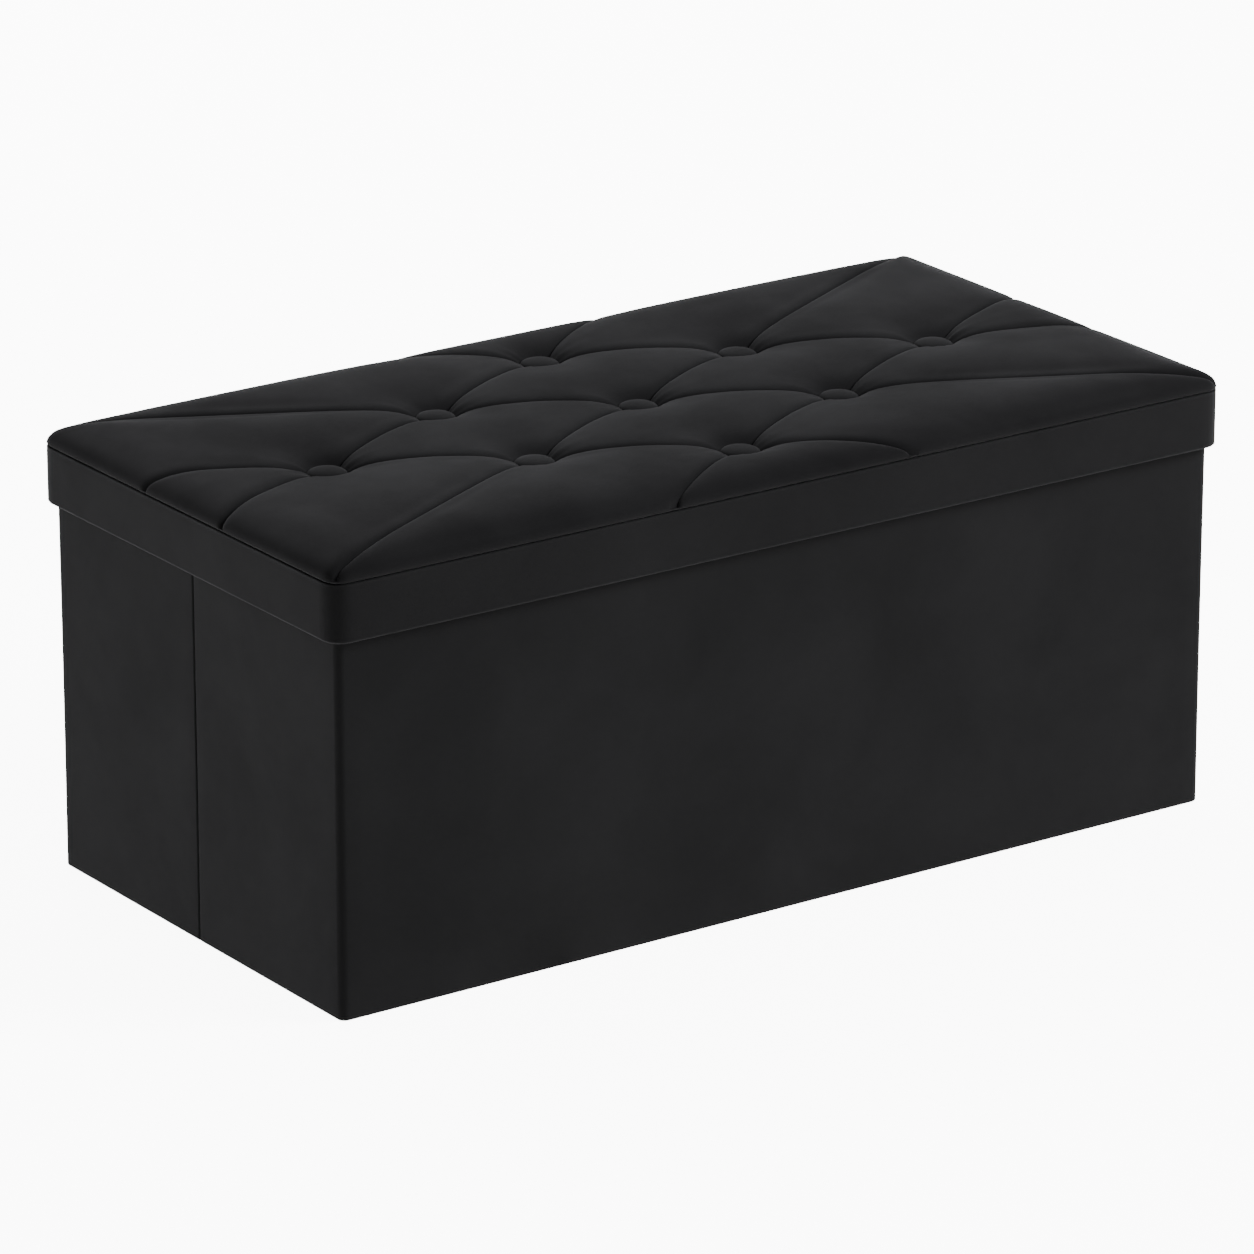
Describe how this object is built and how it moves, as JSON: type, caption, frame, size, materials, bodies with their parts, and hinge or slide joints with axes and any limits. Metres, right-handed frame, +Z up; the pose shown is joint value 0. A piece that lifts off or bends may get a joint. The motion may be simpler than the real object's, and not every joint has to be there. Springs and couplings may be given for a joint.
{
  "type": "storage ottoman",
  "caption": "Rectangular folding storage ottoman: cloth-covered box with a lift-off button-tufted padded lid.",
  "frame": {"origin": "on the floor, under the middle of the ottoman's bounding box", "axes": "+X along the ottoman's length, the front face looks along -Y, +Z up"},
  "size_m": [0.76, 0.38, 0.3355],
  "materials": {
    "velvet": "matte short-pile velvet",
    "lining_cloth": "matte non-woven",
    "fibreboard": "bare",
    "foam": "open-cell foam",
    "nylon_disc": "moulded",
    "ribbon": "woven tape"
  },
  "bodies": {
    "front_wall": {"front_wall_cover": "velvet", "front_wall_board": "fibreboard", "front_wall_lining": "lining_cloth", "bottom_cloth": "lining_cloth"},
    "back_wall": {"back_wall_cover": "velvet", "back_wall_board": "fibreboard", "back_wall_lining": "lining_cloth"},
    "left_front_panel": {"left_front_cover": "velvet", "left_front_board": "fibreboard", "left_front_lining": "lining_cloth"},
    "left_rear_panel": {"left_rear_cover": "velvet", "left_rear_board": "fibreboard", "left_rear_lining": "lining_cloth"},
    "right_front_panel": {"right_front_cover": "velvet", "right_front_board": "fibreboard", "right_front_lining": "lining_cloth"},
    "right_rear_panel": {"right_rear_cover": "velvet", "right_rear_board": "fibreboard", "right_rear_lining": "lining_cloth"},
    "front_base_leaf": {"front_base_board": "fibreboard", "front_base_lining": "lining_cloth", "base_pull_ribbon": "ribbon"},
    "rear_base_leaf": {"rear_base_board": "fibreboard", "rear_base_lining": "lining_cloth"},
    "lid": {"skirt_cover": "velvet", "front_skirt_board": "fibreboard", "back_skirt_board": "fibreboard", "left_skirt_board": "fibreboard", "right_skirt_board": "fibreboard", "lid_board": "fibreboard", "lid_lining": "lining_cloth", "foam_pad": "foam", "cushion_cover": "velvet", "button_1": "velvet", "button_2": "velvet", "button_3": "velvet", "button_4": "velvet", "button_5": "velvet", "button_6": "velvet", "button_7": "velvet", "button_8": "velvet", "button_9": "velvet", "button_disc_1": "nylon_disc", "button_disc_2": "nylon_disc", "button_disc_3": "nylon_disc", "button_disc_4": "nylon_disc", "button_disc_5": "nylon_disc", "button_disc_6": "nylon_disc", "button_disc_7": "nylon_disc", "button_disc_8": "nylon_disc", "button_disc_9": "nylon_disc"}
  },
  "joints": [
    {"name": "lid_lift", "type": "slide", "parent": "front_wall", "child": "lid", "axis": [0, 0, 1], "range_m": [0, 0.35]},
    {"name": "body_fold", "type": "hinge", "parent": "front_wall", "child": "left_front_panel", "pos_m": [-0.3609, -0.1628, 0], "axis": [0, 0, -1], "range_deg": [0, 90], "deforming": ["bottom_cloth"]},
    {"name": "left_seam", "type": "hinge", "parent": "left_front_panel", "child": "left_rear_panel", "pos_m": [-0.3728, 0, 0], "axis": [0, 0, 1], "range_deg": [0, 180]},
    {"name": "left_rear_corner", "type": "hinge", "parent": "left_rear_panel", "child": "back_wall", "pos_m": [-0.3609, 0.1628, 0], "axis": [0, 0, -1], "range_deg": [0, 90]},
    {"name": "right_front_corner", "type": "hinge", "parent": "front_wall", "child": "right_front_panel", "pos_m": [0.3609, -0.1628, 0], "axis": [0, 0, 1], "range_deg": [0, 90]},
    {"name": "right_seam", "type": "hinge", "parent": "right_front_panel", "child": "right_rear_panel", "pos_m": [0.3728, 0, 0], "axis": [0, 0, -1], "range_deg": [0, 180]},
    {"name": "front_leaf_hinge", "type": "hinge", "parent": "front_wall", "child": "front_base_leaf", "pos_m": [0, -0.1694, 0.0081], "axis": [1, 0, 0], "range_deg": [0, 90]},
    {"name": "rear_leaf_hinge", "type": "hinge", "parent": "back_wall", "child": "rear_base_leaf", "pos_m": [0, 0.1694, 0.0081], "axis": [-1, 0, 0], "range_deg": [0, 90]}
  ],
  "couplings": [
    {"joint": "left_seam", "follows": "body_fold", "ratio": 2},
    {"joint": "left_rear_corner", "follows": "body_fold", "ratio": 1},
    {"joint": "right_front_corner", "follows": "body_fold", "ratio": 1},
    {"joint": "right_seam", "follows": "body_fold", "ratio": 2},
    {"joint": "front_leaf_hinge", "follows": "body_fold", "ratio": 1},
    {"joint": "rear_leaf_hinge", "follows": "body_fold", "ratio": 1}
  ]
}
